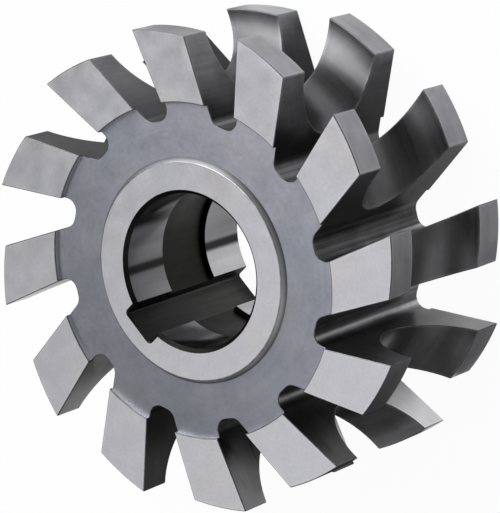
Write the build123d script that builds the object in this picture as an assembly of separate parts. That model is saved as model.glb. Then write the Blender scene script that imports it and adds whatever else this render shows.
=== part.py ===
from build123d import *
import math
import os

# Concave milling cutter: a ring of form-relieved teeth with a half-round hollow, on a keyed bore.
# Frame: +Z runs along the bore, z = 0 is the lower end face, and the keyway points along +X.
# Seen from above, the teeth point anticlockwise, and one tip lies on the +X axis, over the keyway.
# All sizes are in millimetres and degrees.

# Overall size
cutter_diameter = 100.0     # over the tooth tips
cutter_width = 40.0
tooth_count = 12

# Form that the teeth cut: a half-round rib, with a flat land on each side of the hollow
form_radius = 12.5

# Tooth shape, seen along the bore
rake_angle = 10.5           # cutting face to the radius at the tip
land_share = 0.5            # part of the tooth pitch that the tooth covers at its tip
relief_rise = 4.2           # how far the relieving cam would sink the back over a whole pitch
gullet_angle = 23.5         # cutting face to the back wall of the tooth ahead
gullet_depth = 19.0
gullet_root_radius = 2.4

# End faces: a raised hub, a shallow turned recess, and the ground sides of the teeth
hub_diameter = 45.0
recess_diameter = 69.0
recess_depth = 1.1
hub_wall_slope = 0.8        # how much wider the hub is at the recess floor than at its face

# Bore: two ground lands with a relieved stretch between them, and one keyway
bore_diameter = 32.0
bore_land_length = 12.5
bore_relief_depth = 1.0
bore_chamfer = 0.8
keyway_width = 8.0
keyway_depth = 2.8          # bore wall to keyway floor
keyway_corner_radius = 0.6
keyway_chamfer = 0.4

# Worked out from the sizes above
tip_radius = cutter_diameter / 2
bore_radius = bore_diameter / 2
hub_radius = hub_diameter / 2
recess_radius = recess_diameter / 2
root_radius = tip_radius - gullet_depth
pitch_angle = 360 / tooth_count
land_angle = pitch_angle * land_share
stock = 2.0                 # left on the blank's rim for relieving, and past the ends for through cuts


def polar(radius, angle):
    """A point in the XY plane at this radius and angle."""
    return Vector(radius * math.cos(math.radians(angle)), radius * math.sin(math.radians(angle)))


def rim_radius(behind):
    """How far out a tooth's land is at this angle behind its tip: it sinks evenly, as the cam turns."""
    return tip_radius - relief_rise * behind / pitch_angle


def meet_circle(start, direction, radius):
    """Where a ray that runs inwards from start first meets a circle round the bore's axis."""
    along = start.dot(direction)
    return start + direction * (-along - math.sqrt(along**2 - start.dot(start) + radius**2))


def blank():
    """The turned blank: bore, hub, face recesses and rim, revolved from one half section."""
    lower_floor, upper_floor = recess_depth, cutter_width - recess_depth
    lower_land, upper_land = bore_land_length, cutter_width - bore_land_length
    hub_foot = hub_radius + hub_wall_slope
    relief_radius = bore_radius + bore_relief_depth
    mouth = bore_radius + bore_chamfer
    rim = tip_radius + stock
    outline = Polyline(
        (bore_radius, bore_chamfer), (mouth, 0), (hub_radius, 0),
        (hub_foot, lower_floor), (recess_radius, lower_floor), (recess_radius, 0),
        (rim, 0), (rim, cutter_width),
        (recess_radius, cutter_width), (recess_radius, upper_floor), (hub_foot, upper_floor),
        (hub_radius, cutter_width), (mouth, cutter_width), (bore_radius, cutter_width - bore_chamfer),
        (bore_radius, upper_land), (relief_radius, upper_land),
        (relief_radius, lower_land), (bore_radius, lower_land),
        close=True,
    )
    return revolve(Plane.XZ * make_face(outline), Axis.Z)


def gullet():
    """The space ahead of the tooth on +X: its raked face, a rounded root, the next tooth's back."""
    tip = polar(tip_radius, 0)
    heel = polar(rim_radius(land_angle), pitch_angle - land_angle)
    face_inwards = polar(-1, rake_angle)
    back_inwards = polar(-1, rake_angle + gullet_angle)
    reach = gullet_depth
    corners = [
        tip - face_inwards * reach,
        meet_circle(tip, face_inwards, root_radius),
        meet_circle(heel, back_inwards, root_radius),
        heel - back_inwards * reach,
    ]
    plan = make_face(Polyline(*corners, close=True))
    roots = plan.vertices().sort_by(lambda v: math.hypot(v.X, v.Y))[0:2]
    plan = fillet(roots, gullet_root_radius)
    return Pos(0, 0, -stock) * extrude(plan, cutter_width + 2 * stock)


def form_section(behind):
    """The section of a tooth in the radial plane at this angle behind its tip."""
    rim = rim_radius(behind)
    middle = cutter_width / 2
    section = make_face([
        Polyline((rim, middle - form_radius), (rim, -stock), (bore_radius, -stock),
                 (bore_radius, cutter_width + stock), (rim, cutter_width + stock), (rim, middle + form_radius)),
        CenterArc((rim, middle), form_radius, 90, 90),
        CenterArc((rim, middle), form_radius, 180, 90),
    ])
    return Rot(0, 0, -behind) * (Plane.XZ * section)


def relieving_waste():
    """What relieving takes off the tooth at +X: its sector of the blank, outside the relieved form.

    The form is lofted through radial sections that all have the same profile, each sunk as far as
    the cam has turned, so the cutter can be reground on its raked faces and still cut that profile.
    """
    ahead = (pitch_angle - land_angle) / 3
    behind = pitch_angle - ahead
    overlap = 1.0
    steps = (-ahead - overlap, (behind - ahead) / 2, behind + overlap)
    form = loft([form_section(step) for step in steps])
    reach = tip_radius * 2
    sector = make_face(Polyline(
        polar(root_radius, ahead), polar(reach, ahead), polar(reach, -behind), polar(root_radius, -behind),
        close=True,
    ))
    return extrude(sector, cutter_width) - form


def keyway_cut():
    """The keyway along +X, with rounded floor corners, right through the hub."""
    floor = bore_radius + keyway_depth
    half = keyway_width / 2
    plan = make_face(Polyline((0, -half), (floor, -half), (floor, half), (0, half), close=True))
    corners = plan.vertices().group_by(Axis.X)[-1]
    plan = fillet(corners, keyway_corner_radius)
    return Pos(0, 0, -stock) * extrude(plan, cutter_width + 2 * stock)


def keyway_edges(cutter):
    """The edges of the keyway on both end faces."""
    ends = cutter.faces().filter_by(Axis.Z).group_by(Axis.Z)
    hub_faces = [face for face in ends[0] + ends[-1] if face.inner_wires()]
    mouth_edges = [edge for face in hub_faces for edge in face.inner_wires()[0].edges()]
    return [edge for edge in mouth_edges if (edge @ 0.5).X > 0]


def milling_cutter():
    """The whole cutter: turned, gashed, relieved, and keyed."""
    cutter = blank()
    ring = PolarLocations(0, tooth_count)
    cutter -= ring * gullet()
    cutter -= ring * relieving_waste()
    cutter -= keyway_cut()
    return chamfer(keyway_edges(cutter), keyway_chamfer)


os.makedirs("parts", exist_ok=True)
export_step(milling_cutter(), "parts/milling_cutter.step")
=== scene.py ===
import cmath
import math

import bmesh
import bpy
from mathutils import Matrix, Vector


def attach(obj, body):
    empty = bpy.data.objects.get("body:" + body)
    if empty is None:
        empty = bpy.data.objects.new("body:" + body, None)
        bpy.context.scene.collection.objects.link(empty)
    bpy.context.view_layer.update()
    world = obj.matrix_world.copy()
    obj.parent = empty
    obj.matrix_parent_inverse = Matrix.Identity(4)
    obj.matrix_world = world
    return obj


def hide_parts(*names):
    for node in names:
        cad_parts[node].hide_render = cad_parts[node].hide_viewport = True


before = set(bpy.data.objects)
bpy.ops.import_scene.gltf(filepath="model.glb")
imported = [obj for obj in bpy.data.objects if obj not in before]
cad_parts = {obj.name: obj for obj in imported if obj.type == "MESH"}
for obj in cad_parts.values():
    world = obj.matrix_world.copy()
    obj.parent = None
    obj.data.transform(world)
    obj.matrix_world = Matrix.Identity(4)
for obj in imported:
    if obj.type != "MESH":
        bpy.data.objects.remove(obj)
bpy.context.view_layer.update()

# Sizes of the cutter, in millimetres and degrees, as its solid has them. One tooth's tip lies on
# the +X axis over the keyway, the teeth point anticlockwise, and z = 0 is the lower end.
CUTTER_WIDTH = 40.0
TIP_RADIUS = 50.0
TEETH = 12
PITCH = 360 / TEETH
LAND = PITCH / 2
RAKE = 10.5
RELIEF_RISE = 4.2
FORM_RADIUS = 12.5
GULLET_ANGLE = 23.5
GULLET_DEPTH = 19.0
ROOT_RADIUS = TIP_RADIUS - GULLET_DEPTH
ROOT_FILLET = 2.4
RECESS_RADIUS = 34.5
RECESS_DEPTH = 1.1
HUB_RADIUS = 22.5
HUB_SLOPE = 0.8
BORE_RADIUS = 16.0
BORE_LAND = 12.5
BORE_RELIEF = 1.0
BORE_CHAMFER = 0.8
KEYWAY_WALL = 4.0
KEYWAY_DEPTH = 2.8
KEYWAY_CORNER = 0.6
KEYWAY_CHAMFER = 0.4

# The skin: how many steps its curves are drawn in, and the place in a tooth's outline of the point
# halfway down its cutting face
HOLLOW_STEPS = 32
TOP_STEPS = 8
ROOT_STEPS = 5
ARC_STEPS = 8
HUB_STEPS = 12
BORE_STEPS = 120
CORNER_STEPS = 4
FACE_MIDDLE = TOP_STEPS + 2

# How often a search halves its range, and what counts as the same place, in millimetres for the
# plan and in metres for the skin
HALVINGS = 50
SAME_PLACE = 0.01
SAME_POINT = 1e-7

# Edges: outside the bore, those that turn by more than WORN_ANGLE degrees are broken by EDGE_BREAK
# metres, and all others that turn by more than CRISP_ANGLE stay crisp
EDGE_BREAK = 0.00020
WORN_ANGLE = 35
CRISP_ANGLE = 30

# Camera: where it stands round the object, in degrees and metres
VIEW_AZIMUTH = -113.77
VIEW_ELEVATION = 52.64
VIEW_ROLL = -108.23
VIEW_DISTANCE = 0.64875
VIEW_AIM = Vector((-0.00022, 0.00107, 0.020))
LENS_MM = 220.75
SENSOR_MM = 36

# Wear, painted edge highlights and noise: how far the lighter band near an edge reaches, in metres,
# which is partly real wear and partly a painted highlight, and the stretches of a noise's values
# that a factor's range is spread over, from the mildest contrast to the strongest
WEAR_AND_HIGHLIGHT_REACH = 0.0009
MILD = (0.25, 0.75)
PLAIN = (0.3, 0.7)
STRONG = (0.35, 0.65)

# How the steel sees the floor: painted light and shade that only its reflections show. Bearings are
# in degrees from +X, and distances in metres. A fade is the cosines of the angles off its bearing at
# which it starts and is full, and for the dim spot the distances from its middle at which it is full
# and ends. Outside the teeth the floor glows brightest at one bearing, with a shaded stretch, a
# second glow to the east and the dim spot.
GLOW_BEARING = 215
GLOW_POWER = 1.7
GLOW_PEAK = 1.27
GLOW_LEAST = 0.03
SHADE_BEARING = 292
SHADE_FADE = (0.88, 0.98)
SHADE_SHARE = 0.5
EAST_BEARING = 345
EAST_FADE = (0.75, 1.0)
EAST_GLOW = 0.74
DIM_BEARING = 255
DIM_RADIUS = 0.056
DIM_FADE = (0.009, 0.017)
DIM_SHARE = 0.3

# In the steel's painted reflections, under the teeth and gullets the floor is dim but for a bright
# strip, and near one bearing this stretch reaches further out. Inside the bore it glows evenly. An
# edge is the two distances from the axis between which one stretch passes into the next.
GULLET_GLOW = 0.35
GULLET_EDGE = ((TIP_RADIUS - 5) / 1000, TIP_RADIUS / 1000)
STRIP_BEARING = 85
STRIP_FADE = (0.77, 0.97)
STRIP_GLOW = 1.05
REACH_BEARING = 92
REACH_FADE = (0.982, 0.994)
REACH = 0.005
BORE_GLOW = 1.0
BORE_EDGE = ((BORE_RADIUS - 0.5) / 1000, (BORE_RADIUS + 0.5) / 1000)

# The floor itself: half its side and its height, in metres, its own grey, and how much of the
# white that the camera and the steel see of it is glow, where the rest keeps the shadow
FLOOR_HALF = 3.0
FLOOR_HEIGHT = -0.0001
FLOOR_GREY = 0.85
FLOOR_WHITE = 0.96
MIRRORED_SHARE = 0.96

# The sky: its own light, how bright the steel sees it, and the darker patch of it over the -X
# side, in degrees from +X and up, and degrees round that
SKY_LIGHT = 0.10
SKY_GLOW = 0.28
DARK_SKY = (186, 48)
DARK_SKY_REACH = 34
DARK_SKY_CORE = 12
DARK_SKY_GLOW = 0.06

# How far off the lamps stand, in metres
LAMP_DISTANCE = 0.60


# Directions

def polar(radius, degrees):
    """A point of the plan, in millimetres, as a complex number."""
    return cmath.rect(radius, math.radians(degrees))


def polar_vector(azimuth, elevation=0):
    """A unit vector at this bearing from +X and height, in degrees."""
    level = math.cos(math.radians(elevation))
    return Vector((level * math.cos(math.radians(azimuth)), level * math.sin(math.radians(azimuth)),
                   math.sin(math.radians(elevation))))


# Camera

def camera_axes():
    """Right, up and back of the camera, in the row frame."""
    azimuth, elevation, roll = (math.radians(a) for a in (VIEW_AZIMUTH, VIEW_ELEVATION, VIEW_ROLL))
    back = Vector((math.sin(azimuth) * math.cos(elevation),
                   -math.cos(azimuth) * math.cos(elevation), math.sin(elevation)))
    level = Vector((0, 0, 1)).cross(back).normalized()
    steep = back.cross(level)
    right = level * math.cos(roll) + steep * math.sin(roll)
    return right, back.cross(right), back


def add_camera():
    right, up, back = camera_axes()
    data = bpy.data.cameras.new("camera")
    data.lens = LENS_MM
    data.sensor_width = SENSOR_MM
    data.clip_start, data.clip_end = 0.05, 20
    camera = bpy.data.objects.new("camera", data)
    camera.matrix_world = Matrix.Translation(VIEW_AIM + back * VIEW_DISTANCE) @ Matrix(
        (right, up, back)).transposed().to_4x4()
    bpy.context.scene.collection.objects.link(camera)
    bpy.context.scene.camera = camera


# Node helpers

class Tree:
    """The node tree of a material or of the world, with short ways to add nodes to it."""

    def __init__(self, owner):
        owner.use_nodes = True
        self.nodes = owner.node_tree.nodes
        self.links = owner.node_tree.links

    def add(self, kind):
        return self.nodes.new("ShaderNode" + kind)

    def feed(self, socket, value):
        """Links an output to a socket, or sets a plain value on it."""
        if isinstance(value, bpy.types.NodeSocket):
            self.links.new(value, socket)
        else:
            socket.default_value = value

    def math(self, operation, *values):
        node = self.add("Math")
        node.operation = operation
        for socket, value in zip(node.inputs, values):
            self.feed(socket, value)
        return node.outputs[0]

    def vector_math(self, operation, *values):
        node = self.add("VectorMath")
        node.operation = operation
        for socket, value in zip(node.inputs, values):
            self.feed(socket, value)
        return node.outputs["Value" if operation in ("LENGTH", "DISTANCE", "DOT_PRODUCT") else "Vector"]

    def remap(self, value, low, high, to_low, to_high, interpolation="LINEAR"):
        """The value with its stretch from low to high spread over another, and held past the ends."""
        node = self.add("MapRange")
        node.interpolation_type = interpolation
        for socket, number in zip(node.inputs, (value, low, high, to_low, to_high)):
            self.feed(socket, number)
        return node.outputs["Result"]

    def ramp(self, value, low, high, to_low, to_high):
        """The same, but eased at both ends."""
        return self.remap(value, low, high, to_low, to_high, "SMOOTHSTEP")


class Steel(Tree):
    """A finish under construction: a metal surface, and the nodes that feed it. Lengths are in metres."""

    def __init__(self, name, base, roughness=0.35):
        self.material = bpy.data.materials.new(name)
        super().__init__(self.material)
        self.surface = self.nodes["Principled BSDF"]
        self.surface.inputs["Base Color"].default_value = (*base, 1)
        self.surface.inputs["Metallic"].default_value = 1.0
        self.surface.inputs["Roughness"].default_value = roughness
        self.base = base
        self.place = self.add("TexCoord").outputs["Object"]
        parts = self.add("SeparateXYZ")
        self.links.new(self.place, parts.inputs[0])
        self.x, self.y, self.z = parts.outputs

    def radius(self):
        """Distance from the bore's axis."""
        return self.math("SQRT", self.math("ADD", self.math("MULTIPLY", self.x, self.x),
                                           self.math("MULTIPLY", self.y, self.y)))

    def angle(self):
        """How far round the axis from +X a point lies, in radians."""
        return self.math("ARCTAN2", self.y, self.x)

    def behind(self):
        """How far behind its tooth's tip a point lies, in parts of the pitch."""
        return self.math("FRACT", self.math("DIVIDE", self.angle(), -math.radians(PITCH)))

    def inside(self, start, way, side):
        """How deep in a tooth a point lies, off the side that starts here in the plan and runs this way."""
        turn = self.math("MULTIPLY", self.behind(), -math.radians(PITCH))
        radius = self.radius()
        x = self.math("MULTIPLY", radius, self.math("COSINE", turn))
        y = self.math("MULTIPLY", radius, self.math("SINE", turn))
        normal = side * polar(1, way + 90)
        offset = -(start.real * normal.real + start.imag * normal.imag) / 1000
        return self.math("ADD", self.math("ADD", self.math("MULTIPLY", x, normal.real),
                                          self.math("MULTIPLY", y, normal.imag)), offset)

    def off_face(self):
        """How far a point lies behind the cutting face."""
        return self.inside(polar(TIP_RADIUS, 0), RAKE, -1)

    def off_heel(self):
        """How far a point lies ahead of the tooth's back."""
        return self.inside(polar(top_radius(LAND, 0), -LAND), RAKE + GULLET_ANGLE - PITCH, 1)

    def off_top(self):
        """How far a point lies below the tooth's land."""
        rim = self.math("MULTIPLY_ADD", self.behind(), -RELIEF_RISE / 1000, TIP_RADIUS / 1000)
        return self.math("SUBTRACT", rim, self.radius())

    def off_middle(self):
        """How far a point lies above or below the middle of the hollow."""
        return self.math("ABSOLUTE", self.math("SUBTRACT", self.z, CUTTER_WIDTH / 2000))

    def off_end(self):
        """How far a point lies from the nearer end of the cutter."""
        return self.math("SUBTRACT", CUTTER_WIDTH / 2000, self.off_middle())

    def off_lip(self):
        """How far a point on a land lies from the hollow's lip."""
        return self.math("SUBTRACT", self.off_middle(), FORM_RADIUS / 1000)

    def off_hollow(self):
        """How far a point on a tooth's side lies from the hollow's edge."""
        across = self.math("SQRT", self.math("ADD", self.math("POWER", self.off_middle(), 2.0),
                                             self.math("POWER", self.off_top(), 2.0)))
        return self.math("SUBTRACT", across, FORM_RADIUS / 1000)

    def on_tooth(self, *distances):
        """The same distances on the teeth, and large ones inside the recess."""
        steepness = 10.0
        inner = self.math("MULTIPLY_ADD", self.radius(), -steepness, steepness * RECESS_RADIUS / 1000)
        return [self.math("MAXIMUM", distance, inner) for distance in distances]

    def wear_and_highlight(self, *distances, gain=1.3):
        """A factor that brightens a surface close to its edges, patchily: partly real wear, partly a
        painted highlight.
        """
        mask = self.ramp(distances[0], 0.0, WEAR_AND_HIGHLIGHT_REACH, 1.0, 0.0)
        for distance in distances[1:]:
            mask = self.math("MAXIMUM", mask, self.ramp(distance, 0.0, WEAR_AND_HIGHLIGHT_REACH, 1.0, 0.0))
        patches = self.remap(self.noise(self.place, scale=450), *PLAIN, 0.4, 1.0)
        return self.math("MULTIPLY_ADD", self.math("MULTIPLY", mask, patches), gain - 1, 1.0)

    def stretched(self, *axes):
        """A place for noise, from three (value, scale) pairs, or None. Marks run along the least scale."""
        node = self.add("CombineXYZ")
        for socket, axis in zip(node.inputs, axes):
            if axis:
                self.links.new(self.math("MULTIPLY", *axis), socket)
        return node.outputs[0]

    def noise(self, vector, scale=1.0, detail=3.0, roughness=0.5):
        node = self.add("TexNoise")
        self.links.new(vector, node.inputs["Vector"])
        node.inputs["Scale"].default_value = scale
        node.inputs["Detail"].default_value = detail
        node.inputs["Roughness"].default_value = roughness
        return node.outputs["Fac"]

    def blend(self, other, share):
        """The base colour, mixed with another by a share."""
        node = self.add("Mix")
        node.data_type = "VECTOR"
        first_vector, second_vector = node.inputs[4:6]
        first_vector.default_value = self.base
        second_vector.default_value = other
        self.feed(node.inputs[0], share)
        return node.outputs[1]

    def shade(self, *factors, colour=None):
        """Colours the surface: the base colour, or this one, times each of these grey factors."""
        product = factors[0]
        for factor in factors[1:]:
            product = self.math("MULTIPLY", product, factor)
        node = self.add("VectorMath")
        node.operation = "SCALE"
        self.feed(node.inputs[0], self.base if colour is None else colour)
        self.feed(node.inputs["Scale"], product)
        self.links.new(node.outputs["Vector"], self.surface.inputs["Base Color"])

    def rough(self, value):
        self.links.new(value, self.surface.inputs["Roughness"])

    def bump(self, height, distance):
        node = self.add("Bump")
        node.inputs["Distance"].default_value = distance
        node.inputs["Strength"].default_value = 1.0
        self.feed(node.inputs["Height"], height)
        self.links.new(node.outputs[0], self.surface.inputs["Normal"])


# Finishes

def ring_grain(s, across, along=1.5):
    """Fine marks that run round the bore's axis."""
    return s.noise(s.stretched((s.radius(), across), (s.angle(), along), (s.z, across)),
                   detail=4.0, roughness=0.6)


def ground_face():
    """The ground sides of the teeth and of the hub, faintly clouded, and lighter near the edges from wear
    and a painted highlight.
    """
    s = Steel("ground_face", base=(0.587, 0.589, 0.629))
    grain = ring_grain(s, across=3200)
    clouds = s.noise(s.place, scale=230, detail=4.0)
    blotches = s.noise(s.place, scale=75, detail=2.0)
    specks = s.noise(s.place, scale=1500, detail=2.0)
    # Lighter near the teeth's edges: partly real wear, partly a painted highlight.
    rubbed_and_highlit = s.wear_and_highlight(*s.on_tooth(s.off_face(), s.off_heel(), s.off_top()), gain=1.12)
    warmer = s.blend((0.595, 0.584, 0.605), s.remap(blotches, *STRONG, 0.0, 1.0))
    s.shade(s.remap(grain, *MILD, 0.975, 1.025), s.remap(clouds, *PLAIN, 0.93, 1.06),
            s.remap(specks, *PLAIN, 0.96, 1.04), rubbed_and_highlit, colour=warmer)
    s.rough(s.remap(clouds, *MILD, 0.32, 0.42))
    s.bump(grain, distance=0.000006)
    return s.material


def recess_face():
    """The turned and blasted floor of the recess, left from heat treatment, with painted shade that darkens
    it towards the keyway.
    """
    far_side, keyway_side = -0.03, 0.03
    s = Steel("recess_face", base=(0.308, 0.321, 0.370))
    mottle = s.noise(s.place, scale=1000, detail=5.0, roughness=0.65)
    clouds = s.noise(s.place, scale=170, detail=4.0, roughness=0.6)
    blotches = s.noise(s.place, scale=60, detail=2.0)
    turning = ring_grain(s, across=900, along=0.8)
    # Painted shade: the recess grows darker towards the keyway's side.
    keyway_side_painted_shade = s.remap(s.x, far_side, keyway_side, 1.10, 0.78)
    warmer = s.blend((0.341, 0.336, 0.380), s.remap(blotches, *STRONG, 0.0, 1.0))
    s.shade(s.remap(mottle, *PLAIN, 0.90, 1.09), s.remap(clouds, *PLAIN, 0.90, 1.09),
            s.remap(turning, *PLAIN, 0.97, 1.03), keyway_side_painted_shade, colour=warmer)
    s.rough(s.remap(mottle, *PLAIN, 0.46, 0.60))
    s.bump(mottle, distance=0.00003)
    return s.material


def recess_wall():
    """The turned walls of the recess, with painted light and shade: brightest at the hub's rim and at the
    foot of the outer wall.
    """
    rim, hub_foot, teeth_foot = 0.0004, 0.0009, 0.0008
    s = Steel("recess_wall", base=(0.84, 0.84, 0.86), roughness=0.4)
    grain = ring_grain(s, across=1500)
    # Painted highlight and shade: the hub's wall is light at its rim and dark at its foot, the outer wall
    # darker at its top.
    hub_wall_painted_light = s.remap(s.off_end(), rim, hub_foot, 0.52, 0.24)
    outer_wall_painted_light = s.remap(s.off_end(), 0.0, teeth_foot, 0.85, 1.05)
    outer = s.math("GREATER_THAN", s.radius(), (RECESS_RADIUS + HUB_RADIUS) / 2000)
    fade = s.math("MULTIPLY_ADD", s.math("SUBTRACT", outer_wall_painted_light, hub_wall_painted_light), outer, hub_wall_painted_light)
    s.shade(s.remap(grain, *MILD, 0.94, 1.05), fade)
    s.rough(s.remap(grain, *MILD, 0.36, 0.46))
    s.bump(grain, distance=0.000008)
    return s.material


def relieved(s):
    """Turning marks that follow the cut round a tooth: gloss and bump, and factors for the colour."""
    track = s.stretched((s.off_top(), 1500), None, (s.z, 1500))
    marks = s.noise(track, roughness=0.55)
    broad = s.noise(track, scale=0.22, detail=2.0)
    clouds = s.noise(s.place, scale=150, detail=4.0, roughness=0.6)
    s.rough(s.remap(marks, *MILD, 0.26, 0.38))
    s.bump(marks, distance=0.000012)
    return (s.remap(marks, *MILD, 0.92, 1.07), s.remap(broad, *PLAIN, 0.93, 1.06),
            s.remap(clouds, *PLAIN, 0.82, 1.16))


def relieved_land():
    """The lands, at both sides of the hollow."""
    s = Steel("relieved_land", base=(0.235, 0.235, 0.25))
    # Lighter near the edges: partly real wear, partly a painted highlight.
    s.shade(*relieved(s), s.wear_and_highlight(s.off_face(), s.off_heel(), s.off_end(), s.off_lip()))
    return s.material


def relieved_hollow():
    """The hollow that cuts the half-round form."""
    s = Steel("relieved_hollow", base=(0.107, 0.107, 0.111))
    # Lighter near the edges: partly real wear, partly a painted highlight.
    s.shade(*relieved(s), s.wear_and_highlight(s.off_face(), s.off_heel(), s.off_top(), gain=1.5))
    return s.material


def cutting_face():
    """The raked faces, ground along the tooth, with painted shade that darkens them down towards the root.
    """
    low, high = 0.036, 0.048
    s = Steel("cutting_face", base=(0.50, 0.50, 0.51))
    lines = s.noise(s.stretched((s.radius(), 60), None, (s.z, 2400)))
    clouds = s.noise(s.place, scale=180, detail=4.0)
    # Painted shade, darker down into the gullet.
    painted_root_shade = s.ramp(s.radius(), low, high, 0.30, 1.15)
    # Lighter near the edges: partly real wear, partly a painted highlight.
    s.shade(s.remap(lines, *MILD, 0.92, 1.08), s.remap(clouds, *PLAIN, 0.88, 1.10), painted_root_shade,
            s.wear_and_highlight(s.off_end(), s.off_top(), s.off_hollow(), gain=1.2))
    s.rough(s.remap(lines, *MILD, 0.26, 0.36))
    s.bump(lines, distance=0.000006)
    return s.material


def milled(s):
    """Marks along the cutter, and dark scale: gloss and bump, and factors for the colour."""
    lines = s.noise(s.stretched((s.radius(), 1400), (s.angle(), 60), (s.z, 40)), detail=4.0)
    stain = s.noise(s.place, scale=170, detail=5.0, roughness=0.6)
    s.rough(s.remap(stain, *PLAIN, 0.30, 0.45))
    s.bump(lines, distance=0.000015)
    return s.remap(lines, *MILD, 0.86, 1.14), s.remap(stain, *PLAIN, 0.72, 1.25)


def gullet_back():
    """The milled backs of the teeth, with painted shade that darkens them down towards the root."""
    low, high = ROOT_RADIUS / 1000, 0.046
    s = Steel("gullet_back", base=(0.110, 0.110, 0.116))
    # Painted shade, darker down into the gullet.
    painted_root_shade = s.ramp(s.radius(), low, high, 0.5, 1.1)
    # Lighter near the edges: partly real wear, partly a painted highlight.
    s.shade(*milled(s), painted_root_shade, s.wear_and_highlight(s.off_end(), s.off_top(), s.off_hollow()))
    return s.material


def gullet_root():
    """The rounded roots of the gullets: light streaks, one painted highlight along a fillet, and darker at
    the upper end.
    """
    highlight_behind, highlight_core, highlight_edge = 0.14, 0.008, 0.035
    low, high = 0.014, 0.032
    s = Steel("gullet_root", base=(0.19, 0.19, 0.196))
    streaks = s.noise(s.stretched((s.radius(), 700), (s.angle(), 34), (s.z, 14)))
    off_highlight = s.math("ABSOLUTE", s.math("SUBTRACT", s.behind(), highlight_behind))
    # The last factor is a painted highlight: a bright line along one fillet of each root.
    s.shade(*milled(s), s.ramp(streaks, *STRONG, 0.7, 1.4), s.ramp(s.z, low, high, 1.0, 0.5),
            s.ramp(off_highlight, highlight_core, highlight_edge, 3.2, 1.0))
    return s.material


def bore_wall():
    """The ground lands of the bore: rub marks along it, a painted dark reflection as a band, a painted
    bright reflection beside it, and darker towards the upper end.
    """
    # The dark band and the bright stretch beside it are painted reflections.
    dark_reflection_turn, dark_reflection_core, dark_reflection_edge = -38.0, 1.5, 5.0
    bright_reflection_start, bright_reflection_full = -36.0, -32.0
    low, high, top = 0.012, 0.028, 0.034
    s = Steel("bore_wall", base=(0.19, 0.19, 0.197), roughness=0.2)
    grain = ring_grain(s, across=2200)
    rubs = s.noise(s.stretched((s.x, 260), (s.y, 260), (s.z, 30)), detail=4.0)
    turn = s.math("MULTIPLY", s.angle(), 180 / math.pi)
    off_dark_reflection = s.math("ABSOLUTE", s.math("SUBTRACT", turn, dark_reflection_turn))
    painted_bright_reflection = s.math("MULTIPLY", s.ramp(turn, bright_reflection_start, bright_reflection_full, 0.0, 1.0),
                     s.remap(s.z, low, high, 1.3, 0.15))
    s.shade(s.remap(grain, *MILD, 0.94, 1.06), s.remap(rubs, *PLAIN, 0.72, 1.2),
            s.ramp(off_dark_reflection, dark_reflection_core, dark_reflection_edge, 0.1, 1.0), s.math("ADD", painted_bright_reflection, 1.0),
            s.remap(s.z, low, top, 1.0, 0.7))
    s.rough(s.remap(grain, *MILD, 0.13, 0.21))
    s.bump(grain, distance=0.000004)
    return s.material


def dark_scale(name, base, upper=1.0):
    """Unground steel in the bore, black from heat treatment, and darker by a factor at the upper end, which
    is painted shade.
    """
    low, high = 0.005, 0.035
    s = Steel(name, base)
    lines = s.noise(s.stretched((s.x, 900), (s.y, 900), (s.z, 60)), detail=4.0)
    stain = s.noise(s.place, scale=200, detail=4.0)
    s.shade(s.remap(lines, *MILD, 0.8, 1.25), s.remap(stain, *PLAIN, 0.7, 1.3),
            s.remap(s.z, low, high, 1.0, upper))
    s.rough(s.remap(stain, *PLAIN, 0.34, 0.5))
    s.bump(lines, distance=0.00002)
    return s.material


def bore_relief():
    return dark_scale("bore_relief", base=(0.014, 0.014, 0.013))


def keyway_wall():
    # The keyway's walls get painted shade, darkest at the upper end.
    return dark_scale("keyway_wall", base=(0.050, 0.050, 0.049), upper=0.45)


def worn_highlit_edge():
    """The broken edges, rubbed bright, and brightest on the hub with a painted highlight."""
    hub_end, teeth_start = (HUB_RADIUS + 1) / 1000, (HUB_RADIUS + 2) / 1000
    s = Steel("worn_highlit_edge", base=(0.19, 0.19, 0.197))
    patches = s.noise(s.place, scale=500)
    # The factor of 2 on the hub's edges is a painted highlight.
    s.shade(s.remap(patches, *PLAIN, 0.6, 1.1), s.remap(s.radius(), hub_end, teeth_start, 2.0, 1.0))
    s.rough(s.remap(patches, *PLAIN, 0.30, 0.45))
    return s.material


FINISHES = {
    "ground": ground_face, "recess": recess_face, "land": relieved_land, "hollow": relieved_hollow,
    "cutting": cutting_face, "back": gullet_back, "root": gullet_root, "bore": bore_wall,
    "bore relief": bore_relief, "keyway": keyway_wall, "edge": worn_highlit_edge, "recess wall": recess_wall,
}
FINISH_ORDER = list(FINISHES)


# The cutter's plan and levels, in millimetres

def behind(point):
    """How many degrees a point of the plan lies behind the tip on +X."""
    return -math.degrees(cmath.phase(point))


def top_radius(degrees_behind, sag):
    """How far out a tooth's top is at this angle behind its tip, where the hollow is this deep."""
    return TIP_RADIUS - RELIEF_RISE * degrees_behind / PITCH - sag


def down_to_top(start, inwards, sag):
    """How far down a side of the tooth its top lies, where the hollow is this deep."""
    low, high = -SAME_PLACE, TIP_RADIUS / 2
    for step in range(HALVINGS):
        along = (low + high) / 2
        point = start + inwards * along
        if abs(point) > top_radius(behind(point), sag):
            low = along
        else:
            high = along
    return low


def down_to_circle(start, inwards, radius):
    """How far down a side of the tooth it crosses a circle round the bore's axis."""
    across = (start * inwards.conjugate()).real
    return -across - math.sqrt(across**2 - abs(start)**2 + radius**2)


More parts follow.
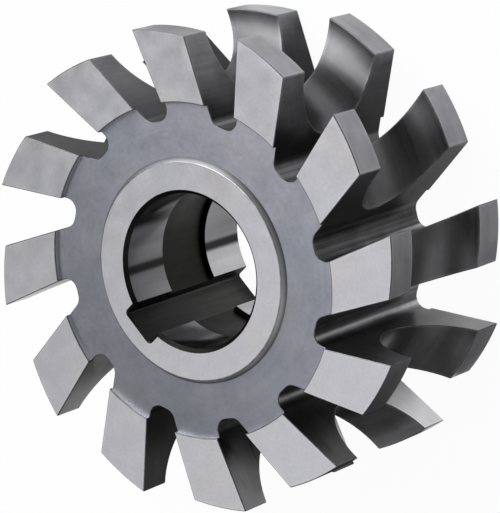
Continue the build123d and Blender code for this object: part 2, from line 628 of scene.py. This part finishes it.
def rounded(before, corner, after, radius, steps):
    """Points of the arc that rounds a corner of the plan."""
    to_before = (before - corner) / abs(before - corner)
    to_after = (after - corner) / abs(after - corner)
    half_angle = abs(cmath.phase(to_before / to_after)) / 2
    middle = (to_before + to_after) / abs(to_before + to_after)
    centre = corner + middle * (radius / math.sin(half_angle))
    first = corner + to_before * (radius / math.tan(half_angle)) - centre
    last = corner + to_after * (radius / math.tan(half_angle)) - centre
    turn = cmath.phase(last / first)
    return [centre + first * cmath.exp(1j * turn * step / steps) for step in range(steps + 1)]


def levels():
    """Heights of the cutter's skin, each with how deep the hollow is there."""
    middle = CUTTER_WIDTH / 2
    hollow = []
    for step in range(1, HOLLOW_STEPS):
        turn = math.pi * step / HOLLOW_STEPS
        hollow.append((middle - FORM_RADIUS * math.cos(turn), FORM_RADIUS * math.sin(turn)))
    below = [(0.0, 0.0), (RECESS_DEPTH, 0.0), (middle - FORM_RADIUS, 0.0)]
    above = [(middle + FORM_RADIUS, 0.0), (CUTTER_WIDTH - RECESS_DEPTH, 0.0), (CUTTER_WIDTH, 0.0)]
    return below + hollow + above


def tooth_outline(height, sag):
    """The plan of one tooth and the gullet ahead of it at a height, as (point, finish) pairs.

    It runs from halfway up the tooth's back, over the top and down the cutting face, through the
    gullet's root, and as far as the next tooth's back. Near the ends of the cutter, the points
    halfway up the sides lie where these cross the recess circle.
    """
    tip, heel = polar(TIP_RADIUS, 0), polar(top_radius(LAND, 0), -LAND)
    face_inwards, back_inwards = polar(-1, RAKE), polar(-1, RAKE + GULLET_ANGLE - PITCH)
    face_foot = tip + face_inwards * down_to_circle(tip, face_inwards, ROOT_RADIUS)
    back_foot = heel + back_inwards * down_to_circle(heel, back_inwards, ROOT_RADIUS)
    next_tooth = polar(1, PITCH)
    near_root = rounded(tip, face_foot, back_foot * next_tooth, ROOT_FILLET, ROOT_STEPS)
    far_root = rounded(face_foot, back_foot * next_tooth, heel * next_tooth, ROOT_FILLET, ROOT_STEPS)
    back_top = heel + back_inwards * down_to_top(heel, back_inwards, sag)
    face_top = tip + face_inwards * down_to_top(tip, face_inwards, sag)
    if min(height, CUTTER_WIDTH - height) < RECESS_DEPTH + SAME_PLACE:
        back_middle = heel + back_inwards * down_to_circle(heel, back_inwards, RECESS_RADIUS)
        face_middle = tip + face_inwards * down_to_circle(tip, face_inwards, RECESS_RADIUS)
    else:
        back_middle = (back_top + far_root[-1] / next_tooth) / 2
        face_middle = (face_top + near_root[0]) / 2
    outline = [(back_middle, "back"), (back_top, "land")]
    for step in range(1, TOP_STEPS):
        turn = behind(back_top) + (behind(face_top) - behind(back_top)) * step / TOP_STEPS
        outline.append((polar(top_radius(turn, sag), -turn), "land"))
    outline += [(face_top, "cutting"), (face_middle, "cutting")]
    outline += [(point, "root") for point in near_root + far_root[:-1]]
    return outline + [(far_root[-1], "back")]


def bore_outline(radius, wall, floor, corner_radius):
    """The plan of the bore and its keyway, anticlockwise from the keyway's upper wall, as pairs too."""
    start = math.degrees(math.asin(wall / radius))
    turn = (360 - 2 * start) / BORE_STEPS
    outline = [(polar(radius, start + turn * step), "bore") for step in range(BORE_STEPS)]
    lower_end, upper_end = polar(radius, -start), polar(radius, start)
    low, high = complex(floor, -wall), complex(floor, wall)
    corners = rounded(lower_end, low, high, corner_radius, CORNER_STEPS)
    corners += rounded(low, high, upper_end, corner_radius, CORNER_STEPS)
    return outline + [(lower_end, "keyway")] + [(point, "keyway") for point in corners]


# The cutter's skin

class Skin:
    """Collects the cutter's vertices, in metres, and its faces with their finishes."""

    def __init__(self):
        self.shape = bmesh.new()

    def loop(self, points, height):
        return [self.shape.verts.new((point.real / 1000, point.imag / 1000, height / 1000))
                for point in points]

    def face(self, vertices, finish, outward=True):
        face = self.shape.faces.new(vertices if outward else vertices[::-1])
        face.material_index = FINISH_ORDER.index(finish)
        face.smooth = True

    def wall(self, lower, upper, finishes, outward=True, closed=True):
        """Quads between two loops of equal length, with a finish for each; None leaves a quad out."""
        for here in range(len(lower) if closed else len(lower) - 1):
            there = (here + 1) % len(lower)
            if finishes[here]:
                self.face([lower[here], lower[there], upper[there], upper[here]], finishes[here], outward)


def add_teeth(skin):
    """The skin of the teeth and gullets, and both ends in to the hub. Returns the hub's rims."""
    loops = []
    for height, sag in levels():
        outline = tooth_outline(height, sag)
        loops.append(skin.loop([point * polar(1, PITCH * tooth) for tooth in range(TEETH)
                                for point, finish in outline], height))
    finishes = [finish for point, finish in outline]
    by_recess = [finish if place < FACE_MIDDLE else None for place, finish in enumerate(finishes)]
    by_hollow = ["hollow" if finish == "land" else finish for finish in finishes]
    sags = [sag for height, sag in levels()]
    for slab in range(len(loops) - 1):
        if slab in (0, len(loops) - 2):
            here = by_recess
        elif max(sags[slab:slab + 2]) > 0:
            here = by_hollow
        else:
            here = finishes
        skin.wall(loops[slab], loops[slab + 1], here * TEETH)
    return [add_end(skin, loops[0], loops[1], 0.0, RECESS_DEPTH, up=False),
            add_end(skin, loops[-1], loops[-2], CUTTER_WIDTH, CUTTER_WIDTH - RECESS_DEPTH, up=True)]


def add_end(skin, rim, floor, height, floor_height, up):
    """The sides of the teeth on one end, and its recess as far as the hub, whose rim it returns.

    rim and floor are the loops round all teeth at the two heights. The recess floor is drawn in one
    face for each tooth, from the middle of its recess arc to the middle of the next one's.
    """
    count = len(rim) // TEETH
    heel, face = (cmath.phase(complex(*rim[place].co.xy)) for place in (0, FACE_MIDDLE))
    spans = [math.degrees(heel + (face - heel) * step / ARC_STEPS) for step in range(ARC_STEPS + 1)]
    split = ARC_STEPS // 2
    floor_arcs = []
    for tooth in range(TEETH):
        first, last = count * tooth, count * tooth + FACE_MIDDLE
        plan = [polar(RECESS_RADIUS, PITCH * tooth + span) for span in spans[1:-1]]
        arc = [rim[first]] + skin.loop(plan, height) + [rim[last]]
        floor_arcs.append([floor[first]] + skin.loop(plan, floor_height) + [floor[last]])
        skin.wall(floor_arcs[-1], arc, ["recess wall"] * ARC_STEPS, outward=not up, closed=False)
        skin.face(rim[first:last + 1] + arc[-2:0:-1], "ground", up)
    turns = [spans[split] + PITCH * place / HUB_STEPS for place in range(TEETH * HUB_STEPS)]
    foot = skin.loop([polar(HUB_RADIUS + HUB_SLOPE, turn) for turn in turns], floor_height)
    for tooth in range(TEETH):
        notch = floor[tooth * count + FACE_MIDDLE + 1:(tooth + 1) * count]
        outside = floor_arcs[tooth][split:] + notch + floor_arcs[(tooth + 1) % TEETH][:split + 1]
        inside = [foot[(tooth * HUB_STEPS + place) % len(foot)] for place in range(HUB_STEPS + 1)]
        skin.face(outside + inside[::-1], "recess", up)
    hub_rim = skin.loop([polar(HUB_RADIUS, turn) for turn in turns], height)
    skin.wall(foot, hub_rim, ["recess wall"] * len(foot), outward=up)
    return hub_rim


def add_bore(skin):
    """The skin of the bore and keyway, with their chamfers and the relieved stretch. Returns its mouths."""
    floor = BORE_RADIUS + KEYWAY_DEPTH
    mouth = (BORE_RADIUS + BORE_CHAMFER, KEYWAY_WALL + KEYWAY_CHAMFER, floor + KEYWAY_CHAMFER,
             KEYWAY_CORNER + KEYWAY_CHAMFER)
    throat = (BORE_RADIUS + BORE_CHAMFER - KEYWAY_CHAMFER, KEYWAY_WALL, floor, KEYWAY_CORNER)
    land = (BORE_RADIUS, KEYWAY_WALL, floor, KEYWAY_CORNER)
    relief = (BORE_RADIUS + BORE_RELIEF, KEYWAY_WALL, floor, KEYWAY_CORNER)
    lower = [(0.0, mouth), (KEYWAY_CHAMFER, throat), (BORE_CHAMFER, land), (BORE_LAND, land),
             (BORE_LAND, relief)]
    stages = lower + [(CUTTER_WIDTH - height, sizes) for height, sizes in reversed(lower)]
    loops = [skin.loop([point for point, finish in bore_outline(*sizes)], height)
             for height, sizes in stages]
    finishes = [finish for point, finish in bore_outline(*land)]
    for slab in range(len(loops) - 1):
        (low, low_sizes), (high, high_sizes) = stages[slab], stages[slab + 1]
        here = finishes
        if relief in (low_sizes, high_sizes) or low_sizes != high_sizes:
            here = ["bore relief" if finish == "bore" else finish for finish in finishes]
        if low == high:
            here = [finish if finish != "keyway" else None for finish in here]
        skin.wall(loops[slab], loops[slab + 1], here, outward=False)
    return loops[0], loops[-1]


def add_hub_faces(skin, rims, mouths):
    """The ring round the bore on each end, in two halves."""
    def nearest(loop, direction):
        return max(range(len(loop)), key=lambda place: loop[place].co.normalized().dot(direction))

    def stretch(loop, first, last):
        return loop[first:last + 1] if first <= last else loop[first:] + loop[:last + 1]

    sides = (Vector((0, 1, 0)), Vector((0, -1, 0)))
    for rim, mouth, up in zip(rims, mouths, (False, True)):
        places = [(nearest(rim, side), nearest(mouth, side)) for side in sides]
        for (rim_start, mouth_start), (rim_end, mouth_end) in (places, places[::-1]):
            ring = stretch(rim, rim_start, rim_end) + stretch(mouth, mouth_start, mouth_end)[::-1]
            skin.face(ring, "ground", up)


def break_edges(shape):
    """Marks the outer sharp edges to be broken, and the other corners to stay crisp."""
    weight = shape.edges.layers.float.new("bevel_weight_edge")
    inner = {FINISH_ORDER.index(finish) for finish in ("bore", "bore relief", "keyway")}
    for edge in shape.edges:
        if len(edge.link_faces) != 2:
            continue
        angle = math.degrees(edge.calc_face_angle_signed())
        if angle > WORN_ANGLE and inner.isdisjoint(face.material_index for face in edge.link_faces):
            edge[weight] = 1.0
        elif abs(angle) > CRISP_ANGLE:
            edge.smooth = False


def dress_cutter():
    """The cutter again, with the same sizes as its solid, broken edges and a finish on every face."""
    skin = Skin()
    rims = add_teeth(skin)
    mouths = add_bore(skin)
    add_hub_faces(skin, rims, mouths)
    bmesh.ops.remove_doubles(skin.shape, verts=skin.shape.verts, dist=SAME_POINT)
    break_edges(skin.shape)
    mesh = bpy.data.meshes.new("cutter")
    skin.shape.to_mesh(mesh)
    skin.shape.free()
    for name in FINISH_ORDER:
        mesh.materials.append(FINISHES[name]())
    cutter = bpy.data.objects.new("cutter", mesh)
    bpy.context.scene.collection.objects.link(cutter)
    bevel = cutter.modifiers.new("worn edges", "BEVEL")
    bevel.limit_method = "WEIGHT"
    bevel.width = EDGE_BREAK
    bevel.segments = 2
    bevel.use_clamp_overlap = False
    bevel.loop_slide = False
    bevel.material = FINISH_ORDER.index("edge")
    bevel.harden_normals = True
    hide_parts("milling_cutter")
    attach(cutter, "root")


# Surroundings

def painted_mirrored_light(tree, place):
    """The painted light and shade that the steel sees at each place of the floor."""
    way = tree.vector_math("NORMALIZE", place)
    off_axis = tree.vector_math("LENGTH", place)

    def near(bearing):
        """The cosine of a place's angle off this bearing."""
        return tree.vector_math("DOT_PRODUCT", way, polar_vector(bearing))

    lobe = tree.math("POWER", tree.math("MULTIPLY_ADD", near(GLOW_BEARING), 0.5, 0.5), GLOW_POWER)
    shaded = tree.math("MULTIPLY", lobe, tree.ramp(near(SHADE_BEARING), *SHADE_FADE, 1.0, SHADE_SHARE))
    open_floor = tree.math("ADD", tree.math("MULTIPLY_ADD", shaded, GLOW_PEAK, GLOW_LEAST),
                           tree.ramp(near(EAST_BEARING), *EAST_FADE, 0.0, EAST_GLOW))
    off_dim = tree.vector_math("DISTANCE", place, polar_vector(DIM_BEARING) * DIM_RADIUS)
    outside = tree.math("MULTIPLY", open_floor, tree.ramp(off_dim, *DIM_FADE, DIM_SHARE, 1.0))
    gullets = tree.ramp(near(STRIP_BEARING), *STRIP_FADE, GULLET_GLOW, STRIP_GLOW)
    reach = tree.ramp(near(REACH_BEARING), *REACH_FADE, 0.0, REACH)
    around = tree.ramp(tree.math("SUBTRACT", off_axis, reach), *GULLET_EDGE, gullets, outside)
    return tree.ramp(off_axis, *BORE_EDGE, BORE_GLOW, around)


def add_floor():
    """A white floor that keeps a faint shadow. To the steel it shows painted light and shade, brighter in
    some places than others.
    """
    corners = [(x * FLOOR_HALF, y * FLOOR_HALF, FLOOR_HEIGHT)
               for x, y in ((-1, -1), (1, -1), (1, 1), (-1, 1))]
    mesh = bpy.data.meshes.new("floor")
    mesh.from_pydata(corners, [], [(0, 1, 2, 3)])
    floor = bpy.data.objects.new("floor", mesh)
    bpy.context.scene.collection.objects.link(floor)
    material = bpy.data.materials.new("white_floor")
    tree = Tree(material)
    tree.nodes.remove(tree.nodes["Principled BSDF"])
    path = tree.add("LightPath").outputs
    place = tree.add("TexCoord").outputs["Object"]
    seen = tree.math("MAXIMUM", path["Is Camera Ray"], path["Is Transmission Ray"])
    # Only the steel's reflections see this painted light and shade.
    mirrored = tree.math("MULTIPLY", path["Is Glossy Ray"], painted_mirrored_light(tree, place))
    glow = tree.add("Emission")
    tree.feed(glow.inputs["Strength"], tree.math("MAXIMUM", seen, mirrored))
    paper = tree.add("BsdfDiffuse")
    paper.inputs["Color"].default_value = (FLOOR_GREY, FLOOR_GREY, FLOOR_GREY, 1)
    white = tree.ramp(tree.vector_math("LENGTH", place), *BORE_EDGE, 1.0, FLOOR_WHITE)
    glow_share = tree.math("MAXIMUM", tree.math("MULTIPLY", seen, white),
                           tree.math("MULTIPLY", path["Is Glossy Ray"], MIRRORED_SHARE))
    mix = tree.add("MixShader")
    for socket, value in zip(mix.inputs, (glow_share, paper.outputs[0], glow.outputs[0])):
        tree.feed(socket, value)
    tree.feed(tree.nodes["Material Output"].inputs["Surface"], mix.outputs[0])
    mesh.materials.append(material)


def add_world():
    """A sky that is white to the camera, and to the steel dim, with a darker patch."""
    world = bpy.data.worlds.new("studio")
    bpy.context.scene.world = world
    tree = Tree(world)
    background = tree.nodes["Background"]
    background.inputs["Color"].default_value = (1, 1, 1, 1)
    path = tree.add("LightPath").outputs
    way = tree.add("TexCoord").outputs["Generated"]
    reach, core = (math.cos(math.radians(a)) for a in (DARK_SKY_REACH, DARK_SKY_CORE))
    near_dark = tree.vector_math("DOT_PRODUCT", way, polar_vector(*DARK_SKY))
    mirrored = tree.ramp(near_dark, reach, core, SKY_GLOW, DARK_SKY_GLOW)
    brightest = tree.remap(path["Is Glossy Ray"], 0.0, 1.0, SKY_LIGHT, mirrored)
    for seen in ("Is Camera Ray", "Is Transmission Ray"):
        brightest = tree.math("MAXIMUM", path[seen], brightest)
    tree.feed(background.inputs["Strength"], brightest)


def add_lamp(name, azimuth, elevation, size, watts):
    """A soft square lamp at this bearing and height, turned to the middle of the cutter."""
    data = bpy.data.lights.new(name, "AREA")
    data.size = size
    data.energy = watts
    lamp = bpy.data.objects.new(name, data)
    way = polar_vector(azimuth, elevation)
    middle = Vector((0, 0, CUTTER_WIDTH / 2000))
    lamp.matrix_world = (Matrix.Translation(middle + way * LAMP_DISTANCE)
                         @ way.to_track_quat("Z", "Y").to_matrix().to_4x4())
    bpy.context.scene.collection.objects.link(lamp)


add_camera()
dress_cutter()
add_floor()
add_world()
add_lamp("key", azimuth=255, elevation=34, size=0.60, watts=3.1)
add_lamp("wash", azimuth=250, elevation=59, size=0.40, watts=1.35)
add_lamp("fill", azimuth=358, elevation=60, size=0.35, watts=0.32)
add_lamp("rim", azimuth=97, elevation=32, size=0.35, watts=0.30)
bpy.context.scene.view_settings.view_transform = "Standard"
